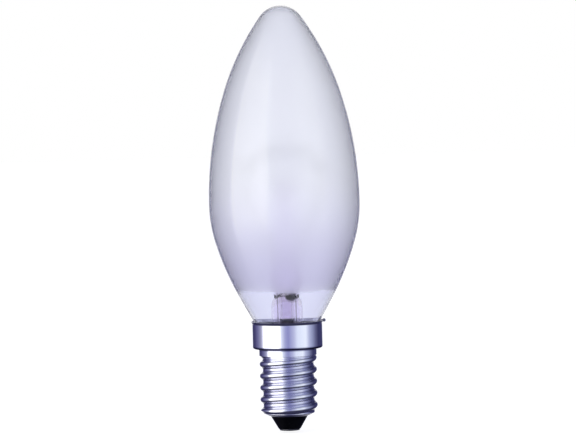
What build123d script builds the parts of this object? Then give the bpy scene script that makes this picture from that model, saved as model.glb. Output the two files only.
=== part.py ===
from build123d import *
from math import asin, atan2, cos, degrees, radians, sin, sqrt, tan
import os

# A frosted candle-shaped filament bulb with a small screw cap, in millimetres.
# It stands on the contact under its cap: that point is the origin, and +Z is the bulb's axis.
# The left and right pieces lie in the plane of X, and the front of the bulb faces -Y.

# Blown glass shell, upper half: two arcs that run into the rounded tip
GLASS_RADIUS = 18.07
FLANK_ARC_RADIUS = 87.0
FLANK_ARC_ANGLE = 17.7
SHOULDER_ARC_RADIUS = 63.3
TIP_RADIUS = 6.0

# Blown glass shell, lower half: two arcs, a cone and the straight neck inside the cap
BELLY_ARC_RADIUS = 33.5
BELLY_ARC_ANGLE = 17.1
WAIST_ARC_RADIUS = 69.5
CONE_ANGLE = 29.3
CONE_FOOT_DEPTH = 1.98
NECK_BEND_RADIUS = 4.0
NECK_CLEARANCE = 1.19
GLASS_WALL = 0.55

# Screw cap, drawn from thin plated sheet
CAP_SHEET = 0.3
CAP_END_HEIGHT = 3.75
CAP_END_RIM = 0.4
CAP_END_BEVEL = 1.1
CAP_END_RISE = 0.6
SHOULDER_HEIGHT = 19.8
COLLAR_RADIUS = 8.39
COLLAR_HEIGHT = 5.9
COLLAR_CORNER_RADIUS = 0.5
LIP_RISE = 0.65
LIP_OVERHANG = 0.42

# Rolled screw thread of the cap
THREAD_PITCH = 2.822
THREAD_RADIUS = 6.87
THREAD_ROUNDING = 0.822
THREAD_PHASE = 0.56
THREAD_START_ANGLE = 40.0
THREAD_END_RISE = 0.31
THREAD_LEAD_IN = 1.4
RIDGE_START_RISE = 0.1
VALLEY_FLAT_RISE = 0.03
RIDGE_LAND = 0.18
RIDGE_ROOT_DEPTH = 0.25
BAND_STEP = 0.02
BAND_LENGTH = 1.6

# Black glass insulator and the contact in it
CONTACT_SURROUND = 0.22
CONE_TOP_STEP = 0.1
INSULATOR_TOP = 6.2
INSULATOR_DISH = 1.2
CONTACT_RADIUS = 2.43
CONTACT_THICKNESS = 0.4
CONTACT_EYELET_RADIUS = 0.95
CONTACT_EYELET_BORE = 0.6
CONTACT_EYELET_LENGTH = 1.1
SOLDER_HEIGHT = 0.15
SOLDER_FLAT_RADIUS = 0.9
SOLDER_RADIUS = 1.45
SOLDER_PLUG_LENGTH = 0.8
LEAD_HOLE_RADIUS = 0.5

# Glass stem: flare, tube, domed roof and the pinch that seals the wires
STEM_RADIUS = 3.7
STEM_WALL = 0.65
STEM_ROOF_HEIGHT = 33.5
FLARE_RISE = 2.2
FLARE_BEND_RADIUS = 2.4
PINCH_WIDTH = 6.0
PINCH_THICKNESS = 2.2
PINCH_HEIGHT = 6.0
PINCH_FILLET = 0.8
EXHAUST_RADIUS = 1.75
EXHAUST_BORE = 1.1
EXHAUST_TIP_DROP = 8.15
EXHAUST_TIP_LENGTH = 2.6
EXHAUST_TIP_RADIUS = 0.35
EXHAUST_TIP_WALL = 1.4
BLOW_HOLE_RADIUS = 0.75
BLOW_HOLE_DEPTH = 1.4
BLOW_HOLE_LENGTH = 4.0
BLOW_HOLE_LEAN = 0.5

# Mount inside the bulb
ROD_RADIUS = 1.0
BUTTON_RADIUS = 1.8
SUPPORT_RISE = 10.0
LEAD_SPREAD = 2.2
INNER_LEAD_RADIUS = 0.25
OUTER_LEAD_RADIUS = 0.1
SEAL_WIRE_RADIUS = 0.18
SEAL_WIRE_LENGTH = 4.0
SEAL_WIRE_INSET = 1.0
SUPPORT_WIRE_RADIUS = 0.14
SUPPORT_SPREAD = 2.2
SUPPORT_RING_RADIUS = 0.62
WIRE_BEND_RADIUS = 1.2
SHELL_LEAD_BENDS = [0.5, 0.3, 0.5, 0.15]
FINE_WIRE_SIDE_COUNT = 6
FILAMENT_RADIUS = 0.4
FILAMENT_HEIGHT = 67.0
FILAMENT_DROP = 4.0
FILAMENT_HALF_TOP = 3.6
FILAMENT_HALF_SPAN = 8.2
CLAMP_RADIUS = 0.75
CLAMP_LENGTH = 1.3

# Fuse in the lead that goes to the contact
FUSE_OFFSET = 3.6
FUSE_BEAD_DROP = 2.55
FUSE_BEAD_LENGTH = 7.0
FUSE_BEAD_RADIUS = 0.85
FUSE_CAVITY_RADIUS = 0.5
FUSE_CAP_LENGTH = 1.0
FUSE_LEAD_ENTRY = 1.5
FUSE_WIRE_RADIUS = 0.06
TAIL_BEND_RADIUS = 1.0

# Cement in the collar and solder on the lip
CEMENT_HEIGHT = 2.4
RIM_SOLDER_LENGTH = 1.9
RIM_SOLDER_RADIUS = 0.38
RIM_SOLDER_TAPER = 0.19

# Gaps between pieces that are seated in each other
SEAT_GAP = 0.02
NECK_STAND_OFF = 0.65
LEAD_STAND_OFF = 0.08

# Thread and cap: what follows from the sizes above
THREAD_LEAN = asin(THREAD_PITCH / (4 * THREAD_ROUNDING))
THREAD_DEPTH = 2 * THREAD_ROUNDING * (1 - cos(THREAD_LEAN))
CREST_CENTER = THREAD_RADIUS - THREAD_ROUNDING
VALLEY_CENTER = THREAD_RADIUS - THREAD_DEPTH + THREAD_ROUNDING
ROOT_RADIUS = THREAD_RADIUS - THREAD_DEPTH + VALLEY_FLAT_RISE
BAND_RADIUS = THREAD_RADIUS + BAND_STEP
BAND_FOOT_HEIGHT = SHOULDER_HEIGHT - BAND_LENGTH
THREAD_START_HEIGHT = THREAD_PHASE + THREAD_PITCH * (1 + THREAD_START_ANGLE / 360)
THREAD_HEIGHT = BAND_FOOT_HEIGHT + THREAD_END_RISE - THREAD_START_HEIGHT
CAP_END_RADIUS = ROOT_RADIUS - CAP_END_BEVEL
CAP_END_HOLE_RADIUS = CAP_END_RADIUS - CAP_END_RIM
CAP_FLOOR = SHOULDER_HEIGHT + CAP_SHEET
LIP_HEIGHT = SHOULDER_HEIGHT + COLLAR_HEIGHT + LIP_RISE
LIP_RADIUS = COLLAR_RADIUS + LIP_OVERHANG
COLLAR_BORE = COLLAR_RADIUS - CAP_SHEET

# Glass: the neck stands in the collar, and the arcs above it start from the cone that leaves the lip
NECK_RADIUS = COLLAR_BORE - NECK_CLEARANCE
NECK_BORE = NECK_RADIUS - GLASS_WALL
NECK_END_HEIGHT = CAP_FLOOR + NECK_STAND_OFF
CONE_SLOPE = tan(radians(CONE_ANGLE))
CONE_FOOT_HEIGHT = LIP_HEIGHT - CONE_FOOT_DEPTH
BELLY_DROP = BELLY_ARC_RADIUS * sin(radians(BELLY_ARC_ANGLE))
BELLY_STEP = BELLY_ARC_RADIUS * (1 - cos(radians(BELLY_ARC_ANGLE)))
WAIST_DROP = WAIST_ARC_RADIUS * (sin(radians(CONE_ANGLE)) - sin(radians(BELLY_ARC_ANGLE)))
WAIST_STEP = WAIST_ARC_RADIUS * (cos(radians(BELLY_ARC_ANGLE)) - cos(radians(CONE_ANGLE)))
CONE_TOP_HEIGHT = CONE_FOOT_HEIGHT + (GLASS_RADIUS - BELLY_STEP - WAIST_STEP - NECK_RADIUS) / CONE_SLOPE
WIDEST_HEIGHT = CONE_TOP_HEIGHT + WAIST_DROP + BELLY_DROP

# Contact end
CONTACT_TOP = SOLDER_HEIGHT + CONTACT_THICKNESS
EYELET_TOP = CONTACT_TOP + CONTACT_EYELET_LENGTH
PLUG_TOP = SOLDER_HEIGHT + SOLDER_PLUG_LENGTH

# Stem, mount and fuse
STEM_DOME_HEIGHT = STEM_ROOF_HEIGHT - STEM_RADIUS
PINCH_TOP = STEM_ROOF_HEIGHT + PINCH_HEIGHT
SEAL_TOP = PINCH_TOP - SEAL_WIRE_INSET
SEAL_BOTTOM = SEAL_TOP - SEAL_WIRE_LENGTH
BUTTON_HEIGHT = FILAMENT_HEIGHT - SUPPORT_RISE
CLAMP_HEIGHT = FILAMENT_HEIGHT - FILAMENT_DROP
FUSE_BEAD_TOP = NECK_END_HEIGHT - FUSE_BEAD_DROP
FUSE_BEAD_BOTTOM = FUSE_BEAD_TOP - FUSE_BEAD_LENGTH
FUSE_LEAD_END = FUSE_BEAD_TOP - FUSE_LEAD_ENTRY
FUSE_TAIL_END = FUSE_BEAD_BOTTOM + FUSE_LEAD_ENTRY
SHELL_LEAD_LEVEL = CAP_FLOOR + NECK_STAND_OFF / 2


def turned(points):
    """Solid of revolution about the Z axis from a closed outline of (radius, height) points."""
    outline = make_face(Plane.XZ * Polyline(*points, close=True))
    return revolve(outline, axis=Axis.Z)


def wire_along(points, radius, bend_radius):
    """Round wire along a bent path, cut square at both ends."""
    path = FilletPolyline(*points, radius=bend_radius)
    section = Plane(origin=path @ 0, z_dir=path % 0) * Circle(radius)
    return sweep(section, path=path)


def fine_wire_along(points, radius, bend_radius):
    """Wire too thin to show its roundness, drawn with six flats inside its true radius."""
    path = FilletPolyline(*points, radius=bend_radius)
    section = Plane(origin=path @ 0, z_dir=path % 0) * RegularPolygon(radius, FINE_WIRE_SIDE_COUNT)
    return sweep(section, path=path)


def straight_wire(x, bottom, top, radius):
    """Upright straight wire between two heights."""
    return Pos(x, 0, bottom) * Cylinder(radius, top - bottom, align=(Align.CENTER, Align.CENTER, Align.MIN))


def glass_outline(wall):
    """Half section of the glass shell's face that lies the given wall inside the outer one."""
    flank = JernArc((GLASS_RADIUS - wall, WIDEST_HEIGHT), (0, 1), FLANK_ARC_RADIUS - wall, FLANK_ARC_ANGLE)
    shoulder_center = flank @ 1 - Vector(cos(radians(FLANK_ARC_ANGLE)), sin(radians(FLANK_ARC_ANGLE))) * (
        SHOULDER_ARC_RADIUS - wall
    )
    reach = SHOULDER_ARC_RADIUS - TIP_RADIUS
    tip_center_height = shoulder_center.Y + sqrt(reach**2 - shoulder_center.X**2)
    tip_angle = degrees(atan2(tip_center_height - shoulder_center.Y, -shoulder_center.X))
    shoulder = JernArc(flank @ 1, flank % 1, SHOULDER_ARC_RADIUS - wall, tip_angle - FLANK_ARC_ANGLE)
    tip = JernArc(shoulder @ 1, shoulder % 1, TIP_RADIUS - wall, 90 - tip_angle)
    belly = JernArc((GLASS_RADIUS - wall, WIDEST_HEIGHT), (0, -1), BELLY_ARC_RADIUS - wall, -BELLY_ARC_ANGLE)
    waist = JernArc(belly @ 1, belly % 1, WAIST_ARC_RADIUS - wall, BELLY_ARC_ANGLE - CONE_ANGLE)
    neck_radius = NECK_RADIUS - wall
    neck_bend = NECK_BEND_RADIUS + wall
    bend_run = neck_bend * tan(radians(CONE_ANGLE / 2))
    corner_height = (waist @ 1).Y - ((waist @ 1).X - neck_radius) / CONE_SLOPE
    bend_start = Vector(
        neck_radius + bend_run * sin(radians(CONE_ANGLE)),
        corner_height + bend_run * cos(radians(CONE_ANGLE)),
    )
    cone = Line(waist @ 1, bend_start)
    bend = JernArc(bend_start, cone % 1, neck_bend, CONE_ANGLE)
    neck = Line(bend @ 1, (neck_radius, NECK_END_HEIGHT))
    top = tip @ 1
    closing = Polyline((neck_radius, NECK_END_HEIGHT), (0, NECK_END_HEIGHT), (0, top.Y))
    return [flank, shoulder, tip, belly, waist, cone, bend, neck, closing]


def glass_form(wall):
    """Solid bounded by one face of the glass shell."""
    edges = [edge for line in glass_outline(wall) for edge in line.edges()]
    return revolve(make_face(Plane.XZ * Wire(edges)), axis=Axis.Z)


def make_glass_envelope():
    return glass_form(0) - glass_form(GLASS_WALL)


def cap_core(inset):
    """Turned form of the cap without its thread, with every face moved in by the inset."""
    root = ROOT_RADIUS - inset
    end = CAP_END_HEIGHT + inset
    floor = SHOULDER_HEIGHT + inset
    lip_start = LIP_HEIGHT - LIP_RISE
    collar = COLLAR_RADIUS - inset
    body = turned(
        [
            (0, end),
            (CAP_END_RADIUS, end),
            (root, end + CAP_END_RISE),
            (root, BAND_FOOT_HEIGHT - THREAD_DEPTH),
            (BAND_RADIUS - inset, BAND_FOOT_HEIGHT),
            (BAND_RADIUS - inset, floor),
            (collar, floor),
            (collar, lip_start),
            (LIP_RADIUS - inset, LIP_HEIGHT),
            (0, LIP_HEIGHT),
        ]
    )
    rims = body.edges().filter_by(GeomType.CIRCLE).filter_by(lambda edge: abs(edge.radius - collar) < SEAT_GAP)
    return fillet(rims.sort_by(Axis.Z)[0], COLLAR_CORNER_RADIUS)


def ridge_corners(inset):
    """Upper corners of a ridge: where its crest turns into the flank, and where the flank meets the root."""
    valley = THREAD_ROUNDING + inset
    foot_angle = asin(RIDGE_LAND / valley)
    crest = THREAD_ROUNDING - inset
    flank = (CREST_CENTER + crest * cos(THREAD_LEAN), crest * sin(THREAD_LEAN))
    foot = (VALLEY_CENTER - valley * cos(foot_angle), THREAD_PITCH / 2 - RIDGE_LAND)
    return flank, foot


def ridge_section():
    """One ridge of the thread: a rounded crest that turns into the flanks of the valleys beside it."""
    flank, foot = ridge_corners(0)
    middle_angle = (asin(RIDGE_LAND / THREAD_ROUNDING) + THREAD_LEAN) / 2
    middle = (
        VALLEY_CENTER - THREAD_ROUNDING * cos(middle_angle),
        THREAD_PITCH / 2 - THREAD_ROUNDING * sin(middle_angle),
    )
    deep = foot[0] - RIDGE_ROOT_DEPTH
    with BuildSketch(Plane.XZ) as section:
        with BuildLine():
            ThreePointArc((flank[0], -flank[1]), (THREAD_RADIUS, 0), flank)
            ThreePointArc(flank, middle, foot)
            Polyline(foot, (deep, foot[1]), (deep, -foot[1]), (foot[0], -foot[1]))
            ThreePointArc((foot[0], -foot[1]), (middle[0], -middle[1]), (flank[0], -flank[1]))
        make_face()
    return section.sketch


def ridge_bore_section():
    """Inside of a ridge, one sheet in from the arcs outside, with flats between points on its own arcs."""
    crest = THREAD_ROUNDING - CAP_SHEET
    top = (CREST_CENTER + crest * cos(THREAD_LEAN / 3), crest * sin(THREAD_LEAN / 3))
    flank, foot = ridge_corners(CAP_SHEET)
    upper = [top, flank, foot, (foot[0] - RIDGE_ROOT_DEPTH, foot[1])]
    lower = [(radius, -height) for radius, height in reversed(upper)]
    return make_face(Plane.XZ * Polyline(*upper, *lower, close=True))


def thread_start(inset):
    """Turned ring that tapers the first turn of the ridge in towards the cap's end."""
    root = ROOT_RADIUS - inset
    start = CAP_END_HEIGHT + CAP_END_RISE + inset + RIDGE_START_RISE
    clear = THREAD_RADIUS + THREAD_ROUNDING
    inner = root - THREAD_DEPTH
    return turned(
        [
            (inner, start),
            (root + RIDGE_START_RISE, start),
            (clear, start + THREAD_LEAD_IN),
            (clear, 0),
            (inner, 0),
        ]
    )


def ridge(section, inset):
    """Helical ridge of the given section, from the cap's end up into the plain band."""
    helix = Helix(THREAD_PITCH, THREAD_HEIGHT, CREST_CENTER)
    turns = sweep(section, path=helix, is_frenet=True)
    return Pos(0, 0, THREAD_START_HEIGHT) * Rot(0, 0, THREAD_START_ANGLE) * turns - thread_start(inset)


def make_cap_shell():
    """Cap drawn from one sheet: lip, collar, shoulder, plain band, rolled thread and turned-in end."""
    outside = cap_core(0) + ridge(ridge_section(), 0)
    inside = cap_core(CAP_SHEET) + ridge(ridge_bore_section(), CAP_SHEET)
    hole = straight_wire(0, 0, CAP_FLOOR, CAP_END_HOLE_RADIUS)
    return outside - inside - hole


def make_insulator():
    """Black glass that fills the cap's end, locks over its turned-in edge and carries the contact."""
    root_bore = ROOT_RADIUS - CAP_SHEET - SEAT_GAP
    sheet_top = CAP_END_HEIGHT + CAP_SHEET + SEAT_GAP
    neck = CAP_END_HOLE_RADIUS - SEAT_GAP
    dish = INSULATOR_TOP - INSULATOR_DISH
    return turned(
        [
            (CONTACT_EYELET_RADIUS + SEAT_GAP, CONTACT_TOP),
            (CONTACT_RADIUS + CONTACT_SURROUND, CONTACT_TOP),
            (CAP_END_HOLE_RADIUS - CONE_TOP_STEP, CAP_END_HEIGHT - SEAT_GAP),
            (neck, CAP_END_HEIGHT),
            (neck, sheet_top),
            (CAP_END_RADIUS - SEAT_GAP, sheet_top),
            (root_bore, sheet_top + CAP_END_RISE),
            (root_bore, INSULATOR_TOP),
            (CONTACT_RADIUS, dish),
            (LEAD_HOLE_RADIUS, dish),
            (LEAD_HOLE_RADIUS, EYELET_TOP + SEAT_GAP),
            (CONTACT_EYELET_RADIUS + SEAT_GAP, EYELET_TOP + SEAT_GAP),
        ]
    )


def make_centre_contact():
    """Stamped plate with an eyelet that stands up into the insulator."""
    plate = turned(
        [
            (CONTACT_EYELET_BORE, SOLDER_HEIGHT),
            (CONTACT_RADIUS, SOLDER_HEIGHT),
            (CONTACT_RADIUS, CONTACT_TOP),
            (CONTACT_EYELET_RADIUS, CONTACT_TOP),
            (CONTACT_EYELET_RADIUS, EYELET_TOP),
            (CONTACT_EYELET_BORE, EYELET_TOP),
        ]
    )
    rim = plate.edges().filter_by(GeomType.CIRCLE).sort_by(Axis.Z)[:2].sort_by(SortBy.RADIUS)[-1]
    return fillet(rim, CONTACT_THICKNESS / 2)


def make_contact_solder():
    """Low button with a flat underside, and the plug of solder in the eyelet."""
    plug = CONTACT_EYELET_BORE - SEAT_GAP
    return turned(
        [
            (0, 0),
            (SOLDER_FLAT_RADIUS, 0),
            (SOLDER_RADIUS, SOLDER_HEIGHT),
            (plug, SOLDER_HEIGHT),
            (plug, PLUG_TOP),
            (0, PLUG_TOP),
        ]
    )


def stem_shell_form(wall):
    """Turned form of one face of the stem: flared foot, tube and domed roof."""
    radius = STEM_RADIUS - wall
    foot = NECK_BORE - SEAT_GAP - wall
    side = FilletPolyline(
        (radius, STEM_DOME_HEIGHT),
        (radius, NECK_END_HEIGHT + FLARE_RISE),
        (foot, NECK_END_HEIGHT),
        radius=FLARE_BEND_RADIUS + wall,
    )
    closing = Polyline((foot, NECK_END_HEIGHT), (0, NECK_END_HEIGHT), (0, STEM_DOME_HEIGHT + radius))
    dome = CenterArc((0, STEM_DOME_HEIGHT), radius, 0, 90)
    return revolve(make_face(Plane.XZ * Wire(side.edges() + closing.edges() + dome.edges())), axis=Axis.Z)


def blow_hole():
    """Slanted hole from the exhaust tube's bore out through the front of the stem's roof."""
    start = (0, 0, STEM_ROOF_HEIGHT - STEM_WALL - BLOW_HOLE_DEPTH)
    aim = Plane(origin=start, z_dir=(BLOW_HOLE_LEAN, -1, 1))
    return aim * Cylinder(BLOW_HOLE_RADIUS, BLOW_HOLE_LENGTH, align=(Align.CENTER, Align.CENTER, Align.MIN))


def make_stem_flare():
    """Flared glass tube whose closed top is pinched flat round the seal wires."""
    pinch = Pos(0, 0, STEM_DOME_HEIGHT) * Box(
        PINCH_WIDTH,
        PINCH_THICKNESS,
        PINCH_TOP - STEM_DOME_HEIGHT,
        align=(Align.CENTER, Align.CENTER, Align.MIN),
    )
    pinch = fillet(pinch.edges().filter_by(Axis.Z), PINCH_FILLET)
    stem = stem_shell_form(0) + pinch - stem_shell_form(STEM_WALL) - blow_hole()
    for side in (-1, 1):
        x = side * LEAD_SPREAD
        stem -= straight_wire(x, STEM_DOME_HEIGHT, SEAL_BOTTOM, OUTER_LEAD_RADIUS + SEAT_GAP)
        stem -= straight_wire(x, SEAL_BOTTOM, SEAL_TOP, SEAL_WIRE_RADIUS + SEAT_GAP)
        stem -= straight_wire(x, SEAL_TOP, PINCH_TOP, INNER_LEAD_RADIUS + SEAT_GAP)
    return stem


def make_exhaust_tube():
    """Thin tube under the stem's roof, drawn off to a closed tip inside the cap."""
    tip = NECK_END_HEIGHT - EXHAUST_TIP_DROP
    tip_shoulder = tip + EXHAUST_TIP_LENGTH
    top = STEM_ROOF_HEIGHT - STEM_WALL - SEAT_GAP
    tube = turned(
        [
            (0, tip),
            (EXHAUST_TIP_RADIUS, tip),
            (EXHAUST_RADIUS, tip_shoulder),
            (EXHAUST_RADIUS, top),
            (EXHAUST_BORE, top),
            (EXHAUST_BORE, tip_shoulder),
            (0, tip + EXHAUST_TIP_WALL),
        ]
    )
    room = stem_shell_form(STEM_WALL + SEAT_GAP) + straight_wire(0, 0, NECK_END_HEIGHT, NECK_BORE)
    return (tube & room) - blow_hole()


def fuse_lead_path():
    """Corners of the lead from the left seal wire to the fuse."""
    turn_height = NECK_END_HEIGHT + FLARE_RISE / 2
    return [
        (-LEAD_SPREAD, 0, SEAL_BOTTOM),
        (-LEAD_SPREAD, 0, turn_height),
        (-FUSE_OFFSET, 0, FUSE_BEAD_TOP + TAIL_BEND_RADIUS),
        (-FUSE_OFFSET, 0, FUSE_LEAD_END),
    ]


def shell_lead_path():
    """Corners of the lead from the right seal wire, under the neck, up behind the collar and over the lip."""
    over_lip = LIP_HEIGHT + OUTER_LEAD_RADIUS + SEAT_GAP
    clear = (OUTER_LEAD_RADIUS + LEAD_STAND_OFF) / cos(radians(CONE_ANGLE))
    lip_corner = NECK_RADIUS + (over_lip - CONE_FOOT_HEIGHT) * CONE_SLOPE + clear
    rise = NECK_RADIUS + clear + OUTER_LEAD_RADIUS
    climb_height = over_lip - (lip_corner - rise) / CONE_SLOPE
    return [
        (LEAD_SPREAD, 0, SEAL_BOTTOM),
        (LEAD_SPREAD, 0, SHELL_LEAD_LEVEL),
        (rise, 0, SHELL_LEAD_LEVEL),
        (rise, 0, climb_height),
        (lip_corner, 0, over_lip),
        (LIP_RADIUS + LIP_OVERHANG / 2, 0, over_lip),
    ]


def make_outer_lead_shell():
    return fine_wire_along(shell_lead_path(), OUTER_LEAD_RADIUS, SHELL_LEAD_BENDS)


def make_outer_lead_contact():
    return fine_wire_along(fuse_lead_path(), OUTER_LEAD_RADIUS, TAIL_BEND_RADIUS)


def make_contact_tail():
    """Lead from the fuse to the solder in the contact."""
    level = INSULATOR_TOP + TAIL_BEND_RADIUS
    path = [
        (-FUSE_OFFSET, 0, FUSE_TAIL_END),
        (-FUSE_OFFSET, 0, FUSE_BEAD_BOTTOM - TAIL_BEND_RADIUS),
        (0, 0, level),
        (0, 0, PLUG_TOP),
    ]
    return fine_wire_along(path, OUTER_LEAD_RADIUS, TAIL_BEND_RADIUS)


def make_fuse_wire():
    return straight_wire(-FUSE_OFFSET, FUSE_TAIL_END, FUSE_LEAD_END, FUSE_WIRE_RADIUS)


def make_fuse_bead():
    """Glass bead closed on the leads at both ends, hollow round the fuse wire."""
    hole = OUTER_LEAD_RADIUS + SEAT_GAP
    bead = turned(
        [
            (hole, FUSE_BEAD_BOTTOM),
            (FUSE_CAVITY_RADIUS, FUSE_BEAD_BOTTOM),
            (FUSE_BEAD_RADIUS, FUSE_BEAD_BOTTOM + FUSE_CAP_LENGTH),
            (FUSE_BEAD_RADIUS, FUSE_BEAD_TOP - FUSE_CAP_LENGTH),
            (FUSE_CAVITY_RADIUS, FUSE_BEAD_TOP),
            (hole, FUSE_BEAD_TOP),
            (hole, FUSE_BEAD_TOP - FUSE_CAP_LENGTH),
            (FUSE_CAVITY_RADIUS, FUSE_BEAD_TOP - FUSE_CAP_LENGTH),
            (FUSE_CAVITY_RADIUS, FUSE_BEAD_BOTTOM + FUSE_CAP_LENGTH),
            (hole, FUSE_BEAD_BOTTOM + FUSE_CAP_LENGTH),
        ]
    )
    return Pos(-FUSE_OFFSET, 0, 0) * bead


def make_seal_wire(side):
    return straight_wire(side * LEAD_SPREAD, SEAL_BOTTOM, SEAL_TOP, SEAL_WIRE_RADIUS)


def filament_path():
    """Corners of the filament, from the left lead over the two supports to the right lead."""
    return [
        (-FILAMENT_HALF_SPAN, 0, CLAMP_HEIGHT),
        (-FILAMENT_HALF_TOP, 0, FILAMENT_HEIGHT),
        (FILAMENT_HALF_TOP, 0, FILAMENT_HEIGHT),
        (FILAMENT_HALF_SPAN, 0, CLAMP_HEIGHT),
    ]


def make_filament():
    """The coil's own outer form."""
    return wire_along(filament_path(), FILAMENT_RADIUS, WIRE_BEND_RADIUS)


def make_inner_lead(side):
    """Lead from the pinch to one end of the filament, with the clamp that holds it."""
    bend_low = PINCH_TOP + 2 * WIRE_BEND_RADIUS
    bend_high = CLAMP_HEIGHT - 6 * WIRE_BEND_RADIUS
    path = [
        (side * LEAD_SPREAD, 0, SEAL_TOP),
        (side * LEAD_SPREAD, 0, bend_low),
        (side * FILAMENT_HALF_SPAN, 0, bend_high),
        (side * FILAMENT_HALF_SPAN, 0, CLAMP_HEIGHT - FILAMENT_RADIUS),
    ]
    lead = wire_along(path, INNER_LEAD_RADIUS, WIRE_BEND_RADIUS)
    run = (side * (FILAMENT_HALF_TOP - FILAMENT_HALF_SPAN), 0, FILAMENT_DROP)
    seat = Plane(origin=(side * FILAMENT_HALF_SPAN, 0, CLAMP_HEIGHT), z_dir=run)
    clamp = seat * Cylinder(CLAMP_RADIUS, CLAMP_LENGTH)
    bore = seat * Cylinder(FILAMENT_RADIUS + SEAT_GAP, 2 * CLAMP_LENGTH)
    return lead + clamp - bore


def make_support_wire(side):
    """Wire from the button to the filament, ending in a ring round it."""
    x = side * SUPPORT_SPREAD
    path = [
        (0, 0, BUTTON_HEIGHT),
        (x, 0, BUTTON_HEIGHT + SUPPORT_SPREAD),
        (x, 0, FILAMENT_HEIGHT - SUPPORT_RING_RADIUS),
    ]
    wire = fine_wire_along(path, SUPPORT_WIRE_RADIUS, WIRE_BEND_RADIUS)
    half = Pos(x, 0, 0) * Box(
        2 * SUPPORT_SPREAD - 2 * SUPPORT_WIRE_RADIUS,
        BUTTON_RADIUS,
        2 * FILAMENT_HEIGHT,
        align=(Align.CENTER, Align.CENTER, Align.MIN),
    )
    section = Plane.XZ * Pos(SUPPORT_RING_RADIUS, 0) * RegularPolygon(SUPPORT_WIRE_RADIUS, FINE_WIRE_SIDE_COUNT)
    ring = Pos(x, 0, FILAMENT_HEIGHT) * Rot(0, 90, 0) * revolve(section, axis=Axis.Z)
    return (wire & half) + ring


def make_glass_support_rod():
    """Rod on the pinch, melted to a button at its top where the support wires are set."""
    shank = straight_wire(0, PINCH_TOP, BUTTON_HEIGHT, ROD_RADIUS)
    button = Pos(0, 0, BUTTON_HEIGHT) * Sphere(BUTTON_RADIUS)
    return shank + button - make_support_wire(-1) - make_support_wire(1)


def make_basing_cement():
    """Ring that fills the collar round the glass neck, with a channel for the lead to the lip."""
    ring = straight_wire(0, NECK_END_HEIGHT, NECK_END_HEIGHT + CEMENT_HEIGHT, COLLAR_BORE - SEAT_GAP)
    channel = wire_along(shell_lead_path(), OUTER_LEAD_RADIUS + SEAT_GAP, SHELL_LEAD_BENDS)
    return ring - glass_form(-SEAT_GAP) - channel


def lip_seat():
    """Room that the cap's lip takes up, with its gap, in what sits on it."""
    lip_start = LIP_HEIGHT - LIP_RISE
    top = LIP_HEIGHT + SEAT_GAP
    return turned(
        [
            (COLLAR_BORE - SEAT_GAP, lip_start),
            (COLLAR_RADIUS + SEAT_GAP, lip_start),
            (LIP_RADIUS + SEAT_GAP, top),
            (LIP_RADIUS - CAP_SHEET - SEAT_GAP, top),
        ]
    )


def make_rim_solder():
    """Bead of solder along the lip, over the end of the lead."""
    bead = Cylinder(RIM_SOLDER_RADIUS, RIM_SOLDER_LENGTH)
    bead = chamfer(bead.edges().filter_by(GeomType.CIRCLE), RIM_SOLDER_TAPER)
    channel = wire_along(shell_lead_path(), OUTER_LEAD_RADIUS + SEAT_GAP, SHELL_LEAD_BENDS)
    return Pos(LIP_RADIUS, 0, LIP_HEIGHT) * Rot(90, 0, 0) * bead - lip_seat() - channel


def main():
    pieces = {
        "glass_envelope": make_glass_envelope(),
        "stem_flare": make_stem_flare(),
        "exhaust_tube": make_exhaust_tube(),
        "glass_support_rod": make_glass_support_rod(),
        "support_wire_left": make_support_wire(-1),
        "support_wire_right": make_support_wire(1),
        "filament": make_filament(),
        "inner_lead_left": make_inner_lead(-1),
        "inner_lead_right": make_inner_lead(1),
        "seal_wire_left": make_seal_wire(-1),
        "seal_wire_right": make_seal_wire(1),
        "outer_lead_shell": make_outer_lead_shell(),
        "outer_lead_contact": make_outer_lead_contact(),
        "contact_tail": make_contact_tail(),
        "fuse_wire": make_fuse_wire(),
        "fuse_bead": make_fuse_bead(),
        "cap_shell": make_cap_shell(),
        "insulator": make_insulator(),
        "centre_contact": make_centre_contact(),
        "contact_solder": make_contact_solder(),
        "rim_solder": make_rim_solder(),
        "basing_cement": make_basing_cement(),
    }
    os.makedirs("parts", exist_ok=True)
    for name, piece in pieces.items():
        export_step(piece, f"parts/{name}.step")
        box = piece.bounding_box()
        print(f"{name:20s} solids {len(piece.solids())} volume {piece.volume:9.3f} top {box.max.Z:7.2f}")


main()
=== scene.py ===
import logging
import math
from dataclasses import dataclass
from enum import Enum

import bpy
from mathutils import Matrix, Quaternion, Vector


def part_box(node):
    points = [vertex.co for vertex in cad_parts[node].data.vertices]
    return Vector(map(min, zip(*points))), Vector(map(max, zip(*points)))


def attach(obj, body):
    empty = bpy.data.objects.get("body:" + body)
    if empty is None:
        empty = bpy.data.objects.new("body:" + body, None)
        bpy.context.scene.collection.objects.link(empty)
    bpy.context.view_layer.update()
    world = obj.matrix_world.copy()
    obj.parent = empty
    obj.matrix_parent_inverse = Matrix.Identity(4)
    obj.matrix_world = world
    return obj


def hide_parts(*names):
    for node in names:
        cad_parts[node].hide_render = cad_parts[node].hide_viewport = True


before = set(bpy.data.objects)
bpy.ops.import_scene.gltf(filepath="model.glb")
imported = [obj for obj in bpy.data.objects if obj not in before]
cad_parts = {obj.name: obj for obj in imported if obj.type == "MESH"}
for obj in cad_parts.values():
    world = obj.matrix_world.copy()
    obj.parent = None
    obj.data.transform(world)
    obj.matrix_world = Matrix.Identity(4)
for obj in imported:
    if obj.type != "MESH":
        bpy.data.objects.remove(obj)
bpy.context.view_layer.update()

log = logging.getLogger("candle_bulb")
MM = 0.001
QUARTER_TURN = math.pi / 2
SMOOTH_ANGLE = math.radians(35)
MERGE_DISTANCE = 0.001 * MM
BODY = "root"

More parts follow.
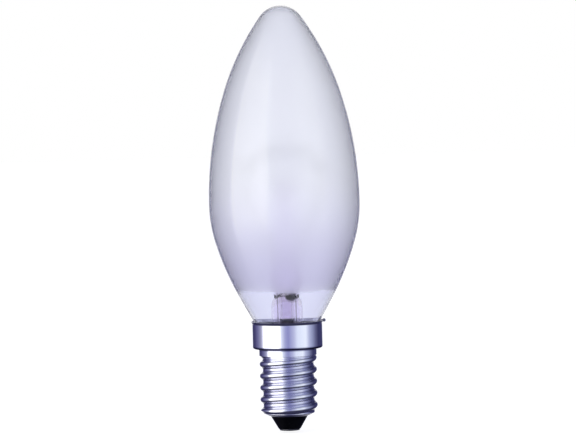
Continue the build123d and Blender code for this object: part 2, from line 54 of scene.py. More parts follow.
Colour = tuple[float, float, float]
Place = tuple[float, float, float]
Span = tuple[float, float]
Source = bpy.types.NodeSocket | float | Colour

WHITE: Colour = (1.0, 1.0, 1.0)


class Zone(Enum):
    """The material slots of the blown shell."""

    OUTER = 0
    INNER = 1


@dataclass(frozen=True)
class Spot:
    """A point on a turned outline, with the direction in which the outline runs there.

    Heading is in radians: nought points away from the axis and a quarter turn points up.
    """

    radius: float
    height: float
    heading: float

    def inward(self, wall: float) -> "Spot":
        """Gives the point one wall to the left of this one.

        Args:
            wall: The wall's thickness in metres.

        Returns:
            The point, with the same heading.
        """
        return Spot(
            self.radius - wall * math.sin(self.heading),
            self.height + wall * math.cos(self.heading),
            self.heading,
        )


def arc(start: Spot, radius: float, turn: float, step: float) -> list[Spot]:
    """Walks along an arc.

    Args:
        start: Where the arc starts and which way it heads.
        radius: The arc's radius in metres.
        turn: The angle that it turns to the left in radians, or to the right where negative.
        step: The largest angle between two points.

    Returns:
        The points after the first.
    """
    side = math.copysign(radius, turn)
    count = math.ceil(abs(turn) / step)
    spots = []
    for index in range(1, count + 1):
        heading = start.heading + turn * index / count
        across = side * (math.sin(heading) - math.sin(start.heading))
        up = side * (math.cos(start.heading) - math.cos(heading))
        spots.append(Spot(start.radius + across, start.height + up, heading))
    return spots


def deselect_all() -> None:
    """Leaves object mode with nothing selected."""
    if bpy.context.object is not None and bpy.context.object.mode != "OBJECT":
        bpy.ops.object.mode_set(mode="OBJECT")
    bpy.ops.object.select_all(action="DESELECT")


def make_active(piece: bpy.types.Object) -> None:
    """Selects one piece alone and makes it active.

    Args:
        piece: The piece to work on.
    """
    deselect_all()
    piece.select_set(True)
    bpy.context.view_layer.objects.active = piece


def settle(piece: bpy.types.Object) -> None:
    """Puts a piece's origin at the frame's origin and smooths its shading.

    Args:
        piece: The finished piece.
    """
    make_active(piece)
    bpy.ops.object.transform_apply(location=True, rotation=True, scale=True)
    bpy.ops.object.shade_smooth_by_angle(angle=SMOOTH_ANGLE)


def spin_outline(name: str, outline: list[Vector], steps: int) -> bpy.types.Object:
    """Draws an outline point by point in edit mode and spins it round the Z axis.

    Args:
        name: The new piece's name.
        outline: Points in the XZ plane, in metres.
        steps: How many faces go round.

    Returns:
        The spun piece.
    """
    deselect_all()
    bpy.ops.mesh.primitive_plane_add(size=MM)
    piece = bpy.context.object
    piece.name = name
    bpy.ops.object.mode_set(mode="EDIT")
    bpy.ops.mesh.merge(type="CENTER")
    bpy.ops.transform.translate(value=outline[0])
    for last, point in zip(outline, outline[1:]):
        bpy.ops.mesh.extrude_vertices_move(TRANSFORM_OT_translate={"value": point - last})
    bpy.ops.mesh.select_all(action="SELECT")
    bpy.ops.mesh.spin(steps=steps, angle=math.tau, center=(0, 0, 0), axis=(0, 0, 1))
    bpy.ops.mesh.select_all(action="SELECT")
    bpy.ops.mesh.remove_doubles(threshold=MERGE_DISTANCE)
    bpy.ops.mesh.normals_make_consistent(inside=False)
    settle(piece)
    return piece


def dress_nodes(material: bpy.types.Material, *nodes: str) -> None:
    """Gives CAD nodes their finish.

    Args:
        material: The finish for all their slots.
        nodes: The CAD nodes' names.
    """
    for node in nodes:
        for material_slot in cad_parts[node].material_slots:
            material_slot.material = material
        log.info("node %s is %s", node, material.name)


def seat(piece: bpy.types.Object, slot: str, *nodes: str) -> None:
    """Hangs a new piece on its body and hides the CAD nodes that it stands for.

    Args:
        piece: The finished piece.
        slot: Not used.
        nodes: The CAD nodes that it replaces.
    """
    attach(piece, BODY)
    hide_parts(*nodes)
    log.info("piece %s rides on %s", piece.name, BODY)


class Nodes:
    """A node tree with short calls for the nodes that it needs."""

    def __init__(self, tree: bpy.types.NodeTree) -> None:
        """Keeps the node tree of a material, of a group or of the world."""
        self.tree = tree

    def add(self, kind: str, **settings: str) -> bpy.types.Node:
        """Adds one node.

        Args:
            kind: The node's type.
            settings: Values for the node's own properties.

        Returns:
            The node.
        """
        node = self.tree.nodes.new(kind)
        for key, value in settings.items():
            setattr(node, key, value)
        return node

    def feed(self, source: Source, target: bpy.types.NodeSocket) -> None:
        """Links a socket to a target, or sets a number or a colour on it.

        Args:
            source: The socket, number or colour.
            target: The input that takes it.
        """
        if isinstance(source, bpy.types.NodeSocket):
            self.tree.links.new(source, target)
        elif target.type == "RGBA":
            target.default_value = (*source, 1.0)
        else:
            target.default_value = source

    def math(self, operation: str, *values: Source) -> bpy.types.NodeSocket:
        """Adds a Math node.

        Args:
            operation: The node's operation.
            values: Its operands, in order.

        Returns:
            The result.
        """
        node = self.add("ShaderNodeMath", operation=operation)
        for value, socket in zip(values, node.inputs):
            self.feed(value, socket)
        return node.outputs["Value"]

    def spread(self, value: Source, span: Span, to: Span = (0.0, 1.0)) -> bpy.types.NodeSocket:
        """Maps a value smoothly from one range to another.

        Args:
            value: The value.
            span: The range that it comes from.
            to: The range that it goes to.

        Returns:
            The mapped value.
        """
        node = self.add("ShaderNodeMapRange", interpolation_type="SMOOTHSTEP")
        self.feed(value, node.inputs["Value"])
        for name, number in zip(("From Min", "From Max", "To Min", "To Max"), (*span, *to)):
            self.feed(number, node.inputs[name])
        return node.outputs["Result"]

    def blend(self, mask: Source, low: Source, high: Source) -> bpy.types.NodeSocket:
        """Blends two colours.

        Args:
            mask: How much of the second colour shows.
            low: The first colour.
            high: The second colour.

        Returns:
            The blended colour.
        """
        node = self.add("ShaderNodeMix", data_type="RGBA")
        for name, value in (("Factor", mask), ("A", low), ("B", high)):
            self.feed(value, node.inputs[name])
        return node.outputs["Result"]

    def place(self, coordinate: str = "Object") -> bpy.types.NodeSocket:
        """Gives one of the Texture Coordinate node's outputs."""
        return self.add("ShaderNodeTexCoord").outputs[coordinate]

    def axes(self, coordinate: str = "Object") -> dict[str, bpy.types.NodeSocket]:
        """Splits a texture coordinate.

        Args:
            coordinate: The Texture Coordinate node's output.

        Returns:
            Its X, Y and Z.
        """
        split = self.add("ShaderNodeSeparateXYZ")
        self.feed(self.place(coordinate), split.inputs["Vector"])
        return {axis: split.outputs[axis] for axis in "XYZ"}

    def seen(self) -> bpy.types.NodeSocket:
        """Masks what the camera looks at straight or through glass."""
        path = self.add("ShaderNodeLightPath").outputs
        return self.math("MAXIMUM", path["Is Camera Ray"], path["Is Transmission Ray"])


@dataclass(frozen=True)
class Grain:
    """Settings of the grain group: cells per metre, detail, stretch and its mask's span of noise."""

    cells: float
    detail: float = 4.0
    stretch: Place = (1.0, 1.0, 1.0)
    low: float = 0.3
    high: float = 0.7

    @staticmethod
    def group() -> bpy.types.NodeTree:
        """Gives the group that all finishes share, built at its first use.

        Returns:
            A group with the noise as Pattern and a smooth step of it as Mask.
        """
        tree = bpy.data.node_groups.get("grain")
        if tree is not None:
            return tree
        tree = bpy.data.node_groups.new("grain", "ShaderNodeTree")
        for name in ("Cells", "Detail", "Low", "High"):
            tree.interface.new_socket(name=name, in_out="INPUT", socket_type="NodeSocketFloat")
        tree.interface.new_socket(name="Stretch", in_out="INPUT", socket_type="NodeSocketVector")
        for name in ("Pattern", "Mask"):
            tree.interface.new_socket(name=name, in_out="OUTPUT", socket_type="NodeSocketFloat")
        nodes = Nodes(tree)
        given = nodes.add("NodeGroupInput").outputs
        results = nodes.add("NodeGroupOutput").inputs
        stretched = nodes.add("ShaderNodeVectorMath", operation="MULTIPLY")
        nodes.feed(nodes.place(), stretched.inputs[0])
        nodes.feed(given["Stretch"], stretched.inputs[1])
        noise = nodes.add("ShaderNodeTexNoise")
        nodes.feed(stretched.outputs["Vector"], noise.inputs["Vector"])
        nodes.feed(given["Cells"], noise.inputs["Scale"])
        nodes.feed(given["Detail"], noise.inputs["Detail"])
        pattern = noise.outputs["Fac"]
        nodes.feed(pattern, results["Pattern"])
        nodes.feed(nodes.spread(pattern, (given["Low"], given["High"])), results["Mask"])
        return tree


@dataclass(frozen=True)
class Relief:
    """A grain that the surface rises by: its height in metres and how strongly the light shows it."""

    grain: Grain
    height: float
    strength: float


class Surface(Nodes):
    """A material with its Principled shader."""

    def __init__(self, name: str) -> None:
        """Starts an empty material.

        Args:
            name: The material's name.
        """
        self.material = bpy.data.materials.new(name)
        self.material.use_nodes = True
        super().__init__(self.material.node_tree)
        self.shader = self.tree.nodes["Principled BSDF"]

    def grain(self, grain: Grain) -> dict[str, bpy.types.NodeSocket]:
        """Places the grain group with its own values.

        Args:
            grain: The group's settings.

        Returns:
            The group's Pattern and Mask.
        """
        node = self.add("ShaderNodeGroup")
        node.node_tree = Grain.group()
        for name in ("Cells", "Detail", "Stretch", "Low", "High"):
            self.feed(getattr(grain, name.lower()), node.inputs[name])
        return {name: node.outputs[name] for name in ("Pattern", "Mask")}

    def between(self, mask: bpy.types.NodeSocket, low: float, high: float) -> bpy.types.NodeSocket:
        """Gives a number between two limits, by a mask."""
        return self.math("MULTIPLY_ADD", mask, high - low, low)

    def reach(self) -> bpy.types.NodeSocket:
        """Gives the distance from the bulb's axis in metres.

        Returns:
            The distance.
        """
        axes = self.axes()
        squares = [self.math("POWER", axes[axis], 2.0) for axis in "XY"]
        return self.math("SQRT", self.math("ADD", *squares))

    def relief(self, relief: Relief) -> dict[str, bpy.types.NodeSocket]:
        """Places the grain group and raises the surface by its Pattern.

        Args:
            relief: The grain, its height and its strength.

        Returns:
            The group's Pattern and Mask.
        """
        grain = self.grain(relief.grain)
        node = self.add("ShaderNodeBump")
        self.feed(relief.strength, node.inputs["Strength"])
        self.feed(relief.height, node.inputs["Distance"])
        self.feed(grain["Pattern"], node.inputs["Height"])
        self.feed(node.outputs["Normal"], self.shader.inputs["Normal"])
        return grain

    def finish(self, **values: Source) -> bpy.types.Material:
        """Feeds the shader's sockets.

        Args:
            values: What each takes, with underscores for the spaces in its name.

        Returns:
            The finished material.
        """
        for key, value in values.items():
            self.feed(value, self.shader.inputs[key.replace("_", " ")])
        return self.material


@dataclass(frozen=True)
class EtchedGlass:
    """Acid-etched inner face of the shell, whose etching fades out above the neck, with painted shade
    darkening its tint towards the bottom; sizes in metres.
    """

    tint: Colour = (0.95, 0.96, 1.0)
    # Painted shade: the darker violet tint that the lower bulb takes on.
    low_shade_tint: Colour = (0.78, 0.765, 0.98)
    clear_tint: Colour = (0.76, 0.77, 0.9)
    roughness: float = 0.6
    clear_roughness: float = 0.03
    fade: Span = (31.8 * MM, 36.2 * MM)
    low_shade_rise: Span = (36.0 * MM, 62.0 * MM)
    wander: float = 0.4 * MM
    edge: Grain = Grain(140.0)
    index: float = 1.42

    def make(self) -> bpy.types.Material:
        """Builds the material.

        Returns:
            The material.
        """
        surface = Surface("etched_glass")
        height = surface.axes()["Z"]
        wander = surface.between(surface.grain(self.edge)["Mask"], -self.wander, self.wander)
        etched = surface.spread(surface.math("ADD", height, wander), self.fade)
        # Painted shade: the tint darkens towards the bottom of the bulb.
        tint = surface.blend(surface.spread(height, self.low_shade_rise), self.low_shade_tint, self.tint)
        return surface.finish(
            Base_Color=surface.blend(etched, self.clear_tint, tint),
            Roughness=surface.spread(etched, (0.0, 1.0), (self.clear_roughness, self.roughness)),
            Transmission_Weight=1.0,
            IOR=self.index,
        )


@dataclass(frozen=True)
class BlownGlass:
    """Smooth outer face of the shell, with the faint waves of blown glass."""

    tint: Colour = (0.97, 0.975, 1.0)
    roughness: float = 0.015
    hazy_roughness: float = 0.03
    haze: Grain = Grain(60.0)
    waves: Relief = Relief(Grain(90.0, detail=2.0), 0.02 * MM, 0.2)
    sheen: float = 0.9
    index: float = 1.42

    def make(self) -> bpy.types.Material:
        """Builds the material.

        Returns:
            The material.
        """
        surface = Surface("blown_glass")
        surface.relief(self.waves)
        haze = surface.grain(self.haze)["Mask"]
        return surface.finish(
            Base_Color=self.tint,
            Roughness=surface.between(haze, self.roughness, self.hazy_roughness),
            Transmission_Weight=1.0,
            Coat_Weight=self.sheen,
            IOR=self.index,
        )


@dataclass(frozen=True)
class StemGlass:
    """Lead glass of the stem, darkened by the flame round the blow hole; sizes in metres."""

    tint: Colour = (0.925, 0.885, 0.965)
    burnt_tint: Colour = (0.01, 0.008, 0.03)
    blow_hole: Place = (1.15 * MM, -1.8 * MM, 32.4 * MM)
    burnt_span: Span = (0.9 * MM, 1.8 * MM)
    draw_lines: Relief = Relief(Grain(700.0, detail=2.0, stretch=(1.0, 1.0, 0.03)), 0.02 * MM, 0.3)
    roughness: float = 0.02
    drawn_roughness: float = 0.06
    index: float = 1.55

    def make(self) -> bpy.types.Material:
        """Builds the material.

        Returns:
            The material.
        """
        surface = Surface("stem_glass")
        away = surface.add("ShaderNodeVectorMath", operation="DISTANCE")
        surface.feed(surface.place(), away.inputs[0])
        surface.feed(self.blow_hole, away.inputs[1])
        clean = surface.spread(away.outputs["Value"], self.burnt_span)
        lines = surface.relief(self.draw_lines)
        return surface.finish(
            Base_Color=surface.blend(clean, self.burnt_tint, self.tint),
            Roughness=surface.between(lines["Mask"], self.roughness, self.drawn_roughness),
            Transmission_Weight=1.0,
            IOR=self.index,
        )


@dataclass(frozen=True)
class PlainMetal:
    """A metal with uneven polish and fine drawing or rolling marks."""

    name: str
    colour: Colour
    dull_colour: Colour
    roughness: float
    dull_roughness: float
    patches: Grain = Grain(230.0, low=0.35, high=0.75)
    marks: Relief = Relief(Grain(2760.0), 0.004 * MM, 0.4)

    def make(self) -> bpy.types.Material:
        """Builds the material.

        Returns:
            The material.
        """
        surface = Surface(self.name)
        patches = surface.grain(self.patches)
        surface.relief(self.marks)
        return surface.finish(
            Base_Color=surface.blend(patches["Pattern"], self.colour, self.dull_colour),
            Roughness=surface.between(patches["Mask"], self.roughness, self.dull_roughness),
            Metallic=1.0,
        )


@dataclass(frozen=True)
class PlatedSheet:
    """Nickel plate on drawn sheet: rings from the tool, rubbed crests with painted shade in the thread
    roots, and a band of painted shade under the collar's shoulder.
    """

    colour: Colour = (0.86, 0.865, 0.93)
    # Painted shade: the thread roots get a darker, bluer base colour than the crests.
    valley_shade_colour: Colour = (0.66, 0.66, 0.78)
    roughness: float = 0.11
    valley_roughness: float = 0.2
    crest: Span = (6.1 * MM, 6.7 * MM)
    specks: Grain = Grain(900.0, low=0.45, high=0.8)
    speck_dulling: float = 0.45
    # Painted shade: a dark blue band in the base colour under the collar's shoulder, where shade falls.
    shoulder_shade_colour: Colour = (0.07, 0.07, 0.17)
    shoulder_shade_height: float = 19.95 * MM
    shoulder_shade_span: Span = (0.2 * MM, 0.65 * MM)
    rings: Relief = Relief(Grain(800.0, detail=3.0, stretch=(0.12, 0.12, 4.0)), 0.003 * MM, 0.5)

    def make(self) -> bpy.types.Material:
        """Builds the material.

        Returns:
            The material.
        """
        surface = Surface("cap_nickel_plate")
        # The mask is 1 at the crests: it polishes them, and it keeps the painted shade in the thread roots
        # away from them.
        rubbed_and_unshaded = surface.spread(surface.reach(), self.crest)
        specks = surface.math("MULTIPLY", surface.grain(self.specks)["Mask"], self.speck_dulling)
        polish = surface.math("SUBTRACT", rubbed_and_unshaded, specks)
        surface.relief(self.rings)
        # Painted shade: the base colour darkens in a band round the collar's shoulder.
        rise = surface.math("SUBTRACT", surface.axes()["Z"], self.shoulder_shade_height)
        unshaded = surface.spread(surface.math("ABSOLUTE", rise), self.shoulder_shade_span)
        # Painted shade: the base colour darkens towards the thread roots.
        plate = surface.blend(rubbed_and_unshaded, self.valley_shade_colour, self.colour)
        return surface.finish(
            Base_Color=surface.blend(unshaded, self.shoulder_shade_colour, plate),
            Roughness=surface.spread(polish, (0.0, 1.0), (self.valley_roughness, self.roughness)),
            Metallic=1.0,
        )


@dataclass(frozen=True)
class BlackGlass:
    """Opaque black glass with a fire-polished skin and a few shallow pits."""

    colour: Colour = (0.0006, 0.0005, 0.001)
    grey: Colour = (0.002, 0.002, 0.003)
    clouds: Grain = Grain(900.0)
    pits: Relief = Relief(Grain(420.0, high=0.8), 0.03 * MM, 0.3)
    roughness: float = 0.3
    pit_roughness: float = 0.48
    gloss: float = 0.2

    def make(self) -> bpy.types.Material:
        """Builds the material.

        Returns:
            The material.
        """
        surface = Surface("black_glass")
        pits = surface.relief(self.pits)
        return surface.finish(
            Base_Color=surface.blend(surface.grain(self.clouds)["Pattern"], self.colour, self.grey),
            Roughness=surface.between(pits["Mask"], self.roughness, self.pit_roughness),
            Specular_IOR_Level=self.gloss,
        )


@dataclass(frozen=True)
class Cement:
    """Baked basing cement, sandy and dull."""

    colour: Colour = (0.5, 0.44, 0.34)
    dark_colour: Colour = (0.36, 0.31, 0.24)
    sand: Relief = Relief(Grain(1800.0, detail=8.0), 0.08 * MM, 0.6)
    roughness: float = 0.9

    def make(self) -> bpy.types.Material:
        """Builds the material.

        Returns:
            The material.
        """
        surface = Surface("basing_cement")
        sand = surface.relief(self.sand)["Pattern"]
        return surface.finish(
            Base_Color=surface.blend(sand, self.dark_colour, self.colour),
            Roughness=self.roughness,
        )


@dataclass
class BlownShell:
    """The blown shell, clear outside, etched inside and clear down its neck; sizes in metres."""

    greatest_radius: float = 18.07 * MM
    widest_height: float = 54.7 * MM
    flank_radius: float = 87.0 * MM
    flank_turn: float = math.radians(17.7)
    shoulder_radius: float = 63.3 * MM
    tip_radius: float = 6.0 * MM
    belly_radius: float = 33.5 * MM
    belly_turn: float = math.radians(17.1)
    waist_radius: float = 69.5 * MM
    cone_lean: float = math.radians(29.3)
    neck_radius: float = 6.9 * MM
    neck_bend: float = 4.0 * MM
    wall: float = 0.55 * MM
    arc_step: float = math.radians(1.8)
    neck_bend_step: float = math.radians(3.6)
    tip_step: float = math.radians(5.4)
    faces_round: int = 144
    upward_share: float = 0.2
    outside: BlownGlass = BlownGlass()
    inside: EtchedGlass = EtchedGlass()

    def cone_top(self) -> Spot:
        """Finds where the waist leaves the cone.

        Returns:
            The spot, which lies the waist's and the belly's runs in from the widest place.
        """
        run = self.belly_radius * (1 - math.cos(self.belly_turn))
        run += self.waist_radius * (math.cos(self.belly_turn) - math.cos(self.cone_lean))
        rise = self.belly_radius * math.sin(self.belly_turn)
        rise += self.waist_radius * (math.sin(self.cone_lean) - math.sin(self.belly_turn))
        return Spot(self.greatest_radius - run, self.widest_height - rise, QUARTER_TURN - self.cone_lean)

    def lower_half(self) -> list[Spot]:
        """Draws the outer face from the neck's end up to the widest place.

        Returns:
            Its spots.
        """
        cone_top = self.cone_top()
        corner = cone_top.height - (cone_top.radius - self.neck_radius) / math.tan(self.cone_lean)
        bend_start = corner - self.neck_bend * math.tan(self.cone_lean / 2)
        neck_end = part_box("glass_envelope")[0][2]
        spots = [Spot(self.neck_radius, height, QUARTER_TURN) for height in (neck_end, bend_start)]
        spots += arc(spots[-1], self.neck_bend, -self.cone_lean, self.neck_bend_step)
        spots.append(cone_top)
        spots += arc(cone_top, self.waist_radius, self.cone_lean - self.belly_turn, self.arc_step)
        spots += arc(spots[-1], self.belly_radius, self.belly_turn, self.arc_step)
        return spots

    def upper_half(self, widest: Spot) -> list[Spot]:
        """Draws the outer face from the widest place to the tip.

        Args:
            widest: The last spot of the lower half.

        Returns:
            Its spots.
        """
        spots = arc(widest, self.flank_radius, self.flank_turn, self.arc_step)
        past_axis = self.shoulder_radius * math.cos(self.flank_turn) - spots[-1].radius
        tip_turn = math.acos(past_axis / (self.shoulder_radius - self.tip_radius))
        spots += arc(spots[-1], self.shoulder_radius, tip_turn - self.flank_turn, self.arc_step)
        spots += arc(spots[-1], self.tip_radius, QUARTER_TURN - tip_turn, self.tip_step)
        return spots

    def zone(self, face: bpy.types.MeshPolygon) -> Zone:
        """Says on which side of the glass a face lies.

        Args:
            face: A face of the shell.

        Returns:
            The side.
        """
        centre = face.center
        outward = Vector((centre.x, centre.y, self.upward_share * centre.xy.length))
        return Zone.OUTER if face.normal.dot(outward) > 0 else Zone.INNER

    def build(self) -> None:
        """Spins the shell and gives each face its glass."""
        lower = self.lower_half()
        outer = lower + self.upper_half(lower[-1])
        inner = [spot.inward(self.wall) for spot in reversed(outer)]
        outline = [Vector((max(0.0, spot.radius), 0.0, spot.height)) for spot in inner + outer]
        shell = spin_outline("frosted_shell", outline, self.faces_round)
        for finish in (self.outside, self.inside):
            shell.data.materials.append(finish.make())
        for face in shell.data.polygons:
            face.material_index = self.zone(face).value
        seat(shell, "frosted_glass", "glass_envelope")


@dataclass
class FilamentCoil:
    """The tungsten coil, hung from the leads over the two supports; sizes in metres."""

    half_top: float = 3.6 * MM
    half_span: float = 8.2 * MM
    top: float = 67.0 * MM
    drop: float = 4.0 * MM
    coil_radius: float = 0.32 * MM
    wire_radius: float = 0.07 * MM
    pitch: float = 0.3 * MM
    points_per_turn: int = 14
    wire_roundness: int = 1
    corner: float = 0.7 * MM
    finish: PlainMetal = PlainMetal("filament_metal", (0.62, 0.62, 0.64), (0.42, 0.42, 0.44), 0.35, 0.5)

    def runs(self) -> list[tuple[Vector, Vector]]:
        """Gives the route's straight runs.

        Returns:
            The ends of each, from the left lead to the right one.
        """
        right_half = ((self.half_top, self.top), (self.half_span, self.top - self.drop))
        left_half = [(-x, height) for x, height in reversed(right_half)]
        corners = [Vector((x, 0.0, height)) for x, height in (*left_half, *right_half)]
        return list(zip(corners, corners[1:]))

    def along(self, distance: float) -> Vector:
        """Finds a point on the route's straight runs.

        Args:
            distance: How far along it lies; past an end, that end's run goes straight on.

        Returns:
            The point.
        """
        runs = self.runs()
        while len(runs) > 1 and distance > (runs[0][1] - runs[0][0]).length:
            start, end = runs.pop(0)
            distance -= (end - start).length
        start, end = runs[0]
        return start.lerp(end, distance / (end - start).length)

    def eased(self, distance: float) -> Vector:
        """Finds a point on the route with its corners rounded."""
        beside = self.along(distance - self.corner) + self.along(distance + self.corner)
        return (beside + 2 * self.along(distance)) / 4

    def wind(self, spline: bpy.types.Spline) -> None:
        """Winds the wire round the route.

        Args:
            spline: The empty spline that becomes the wire.
        """
        length = sum((end - start).length for start, end in self.runs())
        count = round(length / self.pitch * self.points_per_turn)
        across = Vector((0.0, 1.0, 0.0))
        spline.points.add(count)
        for index, point in enumerate(spline.points):
            distance = length * index / count
            heading = (self.eased(distance + self.pitch) - self.eased(distance - self.pitch)).normalized()
            angle = math.tau * index / self.points_per_turn
            swing = math.cos(angle) * across + math.sin(angle) * heading.cross(across)
            point.co = (*(self.eased(distance) + self.coil_radius * swing), 1.0)

    def build(self) -> None:
        """Winds the coil as a curve, since no edit-mode spin follows a bent route, and meshes it."""
        data = bpy.data.curves.new("filament_coil", "CURVE")
        data.dimensions = "3D"
        data.bevel_depth = self.wire_radius
        data.bevel_resolution = self.wire_roundness
        data.use_fill_caps = True
        self.wind(data.splines.new("POLY"))
        coil = bpy.data.objects.new("filament_coil", data)
        bpy.context.scene.collection.objects.link(coil)
        make_active(coil)
        bpy.ops.object.convert(target="MESH")
        settle(coil)
        coil.data.materials.append(self.finish.make())
        seat(coil, "filament", "filament")


@dataclass
class StemAndMount:
    """The glass stem and the wires in it."""

    glass: StemGlass = StemGlass()
    nickel: PlainMetal = PlainMetal("lead_nickel", (0.6, 0.58, 0.55), (0.4, 0.39, 0.38), 0.3, 0.45)
    molybdenum: PlainMetal = PlainMetal("support_metal", (0.36, 0.36, 0.38), (0.2, 0.2, 0.22), 0.35, 0.5)
    copper: PlainMetal = PlainMetal("tinned_copper", (0.34, 0.3, 0.36), (0.22, 0.19, 0.24), 0.3, 0.45)
    seal_red: PlainMetal = PlainMetal("seal_wire_red", (0.3, 0.09, 0.1), (0.2, 0.06, 0.07), 0.35, 0.5)

    def build(self) -> None:
        """Dresses the stem and its wires."""
        dress_nodes(self.glass.make(), "stem_flare", "exhaust_tube", "glass_support_rod", "fuse_bead")
        dress_nodes(self.nickel.make(), "inner_lead_left", "inner_lead_right", "fuse_wire")
        dress_nodes(self.molybdenum.make(), "support_wire_left", "support_wire_right")
        dress_nodes(self.copper.make(), "outer_lead_shell", "outer_lead_contact", "contact_tail")
        dress_nodes(self.seal_red.make(), "seal_wire_left", "seal_wire_right")


@dataclass
class ScrewCap:
    """The plated sheet cap, its lip solder and the cement in its collar."""

    plating: PlatedSheet = PlatedSheet()
    solder: PlainMetal = PlainMetal("lip_solder", (0.34, 0.34, 0.4), (0.2, 0.2, 0.26), 0.25, 0.45)
    cement: Cement = Cement()

    def build(self) -> None:
        """Dresses the cap."""
        dress_nodes(self.plating.make(), "cap_shell")
        dress_nodes(self.solder.make(), "rim_solder")
        dress_nodes(self.cement.make(), "basing_cement")


@dataclass
class ContactEnd:
    """The black insulator with the contact plate and its solder."""

    insulator: BlackGlass = BlackGlass()
    plate: PlainMetal = PlainMetal("contact_plate", (0.14, 0.14, 0.15), (0.08, 0.08, 0.09), 0.4, 0.6)
    solder: PlainMetal = PlainMetal("contact_solder", (0.17, 0.17, 0.18), (0.1, 0.1, 0.11), 0.35, 0.55)

    def build(self) -> None:
        """Dresses the contact end."""
        dress_nodes(self.insulator.make(), "insulator")
        dress_nodes(self.plate.make(), "centre_contact")
        dress_nodes(self.solder.make(), "contact_solder")


@dataclass(frozen=True)
class Light:
    """What the bulb sees of the studio in one direction, in degrees to the right of the camera."""

    azimuth: float
    colour: Colour


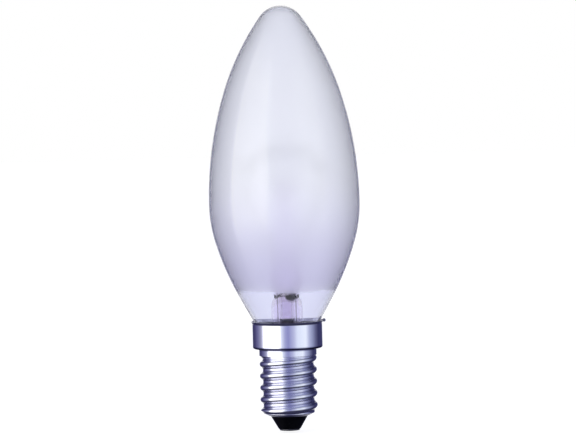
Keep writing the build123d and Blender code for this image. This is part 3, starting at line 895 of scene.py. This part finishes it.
@dataclass
class Studio:
    """Camera, floor and the light all round; sizes in metres."""

    distance: float = 0.8
    lens: float = 209.5
    sensor: float = 36.0
    nearest_seen: float = 0.01
    look_down: float = math.radians(2.3)
    lean: float = math.radians(1.38)
    target: Place = (0.79 * MM, 0.0, 50.9 * MM)
    floor_size: float = 6.0
    floor_drop: float = 0.4 * MM
    floor_colour: Colour = (0.5, 0.5, 0.5)
    floor_glow: float = 0.87
    lights: tuple[Light, ...] = (
        Light(-180, WHITE),
        Light(-171, WHITE),
        Light(-158, (0.05, 0.05, 0.14)),
        Light(-135, (0.06, 0.055, 0.15)),
        Light(-114, (0.17, 0.165, 0.33)),
        Light(-99, (0.34, 0.34, 0.5)),
        Light(-92, (0.6, 0.6, 0.75)),
        Light(-84, (1.9, 1.9, 1.95)),
        Light(-32, (2.2, 2.2, 2.2)),
        Light(-20, (0.8, 0.85, 1.0)),
        Light(-9, (0.42, 0.44, 0.7)),
        Light(2, (0.29, 0.3, 0.58)),
        Light(21, (0.54, 0.56, 0.79)),
        Light(33, (0.82, 0.88, 1.03)),
        Light(62, (0.95, 1.0, 1.12)),
        Light(76, (0.5, 0.53, 0.74)),
        Light(88, (0.33, 0.36, 0.55)),
        Light(104, (0.14, 0.145, 0.27)),
        Light(120, (0.045, 0.045, 0.12)),
        Light(158, (0.05, 0.05, 0.14)),
        Light(171, WHITE),
        Light(180, WHITE),
    )
    ramp_middle: float = 0.5
    level_span: Span = (0.12, 0.5)
    slanted_light: float = 0.6
    below: Colour = (0.035, 0.035, 0.075)
    below_span: Span = (-0.85, -0.2)
    above: Colour = (0.25, 0.27, 0.5)
    above_span: Span = (0.55, 0.9)

    def build_camera(self) -> None:
        """Places the camera at the photograph's viewing angle."""
        data = bpy.data.cameras.new("camera")
        data.lens = self.lens
        data.sensor_width = self.sensor
        data.clip_start = self.nearest_seen
        camera = bpy.data.objects.new("camera", data)
        bpy.context.scene.collection.objects.link(camera)
        offset = Vector((0.0, -math.cos(self.look_down), math.sin(self.look_down))) * self.distance
        camera.location = Vector(self.target) + offset
        roll = Quaternion((0.0, 0.0, 1.0), -self.lean)
        camera.rotation_mode = "QUATERNION"
        camera.rotation_quaternion = (-offset).to_track_quat("-Z", "Y") @ roll
        bpy.context.scene.camera = camera

    def build_floor(self) -> None:
        """Lays the pale floor, which is white to the camera and keeps the bulb's shadow."""
        deselect_all()
        bpy.ops.mesh.primitive_plane_add(size=self.floor_size, location=(0.0, 0.0, -self.floor_drop))
        floor = bpy.context.object
        floor.name = "floor"
        floor.visible_glossy = False
        surface = Surface("pale_floor")
        material = surface.finish(
            Base_Color=self.floor_colour,
            Roughness=1.0,
            Emission_Color=WHITE,
            Emission_Strength=surface.math("MULTIPLY", surface.seen(), self.floor_glow),
        )
        floor.data.materials.append(material)

    def light_round(self, nodes: Nodes, axes: dict[str, bpy.types.NodeSocket]) -> bpy.types.NodeSocket:
        """Sets the soft boxes at the sides, with shade between and behind them.

        Args:
            nodes: The world's tree.
            axes: The direction looked in.

        Returns:
            The light that comes from there.
        """
        azimuth = nodes.math("ARCTAN2", axes["X"], nodes.math("MULTIPLY", axes["Y"], -1.0))
        ramp = nodes.add("ShaderNodeValToRGB")
        nodes.feed(nodes.math("MULTIPLY_ADD", azimuth, 1 / math.tau, self.ramp_middle), ramp.inputs["Fac"])
        stops = ramp.color_ramp.elements
        # A new ramp has two stops, so the rest are added before all are placed.
        for _ in self.lights[len(stops):]:
            stops.new(1.0)
        brightest = max(max(light.colour) for light in self.lights)
        for stop, light in zip(stops, self.lights):
            stop.position = light.azimuth / 360 + self.ramp_middle
            stop.color = (*(part / brightest for part in light.colour), 1.0)
        strengths = (brightest, self.slanted_light * brightest)
        strength = nodes.spread(nodes.math("ABSOLUTE", axes["Z"]), self.level_span, strengths)
        scaled = nodes.add("ShaderNodeVectorMath", operation="SCALE")
        nodes.feed(ramp.outputs["Color"], scaled.inputs[0])
        nodes.feed(strength, scaled.inputs["Scale"])
        return scaled.outputs["Vector"]

    def build_world(self) -> None:
        """Surrounds the bulb with soft boxes and shade, on white for the camera and through glass."""
        world = bpy.data.worlds.new("studio")
        world.use_nodes = True
        bpy.context.scene.world = world
        nodes = Nodes(world.node_tree)
        axes = nodes.axes("Generated")
        level = self.light_round(nodes, axes)
        lower = nodes.blend(nodes.spread(axes["Z"], self.below_span), self.below, level)
        whole = nodes.blend(nodes.spread(axes["Z"], self.above_span), lower, self.above)
        background = world.node_tree.nodes["Background"]
        nodes.feed(nodes.blend(nodes.seen(), whole, WHITE), background.inputs["Color"])

    def build(self) -> None:
        """Builds the studio and the view."""
        self.build_camera()
        self.build_floor()
        self.build_world()
        bpy.context.scene.view_settings.view_transform = "Standard"


def main() -> None:
    """Builds the bulb's sub-assemblies in order, then the studio round them."""
    logging.basicConfig(level=logging.INFO, format="%(message)s")
    for assembly in (StemAndMount(), FilamentCoil(), BlownShell(), ScrewCap(), ContactEnd(), Studio()):
        assembly.build()
        log.info("%s is built", type(assembly).__name__)


if __name__ == "__main__":
    main()
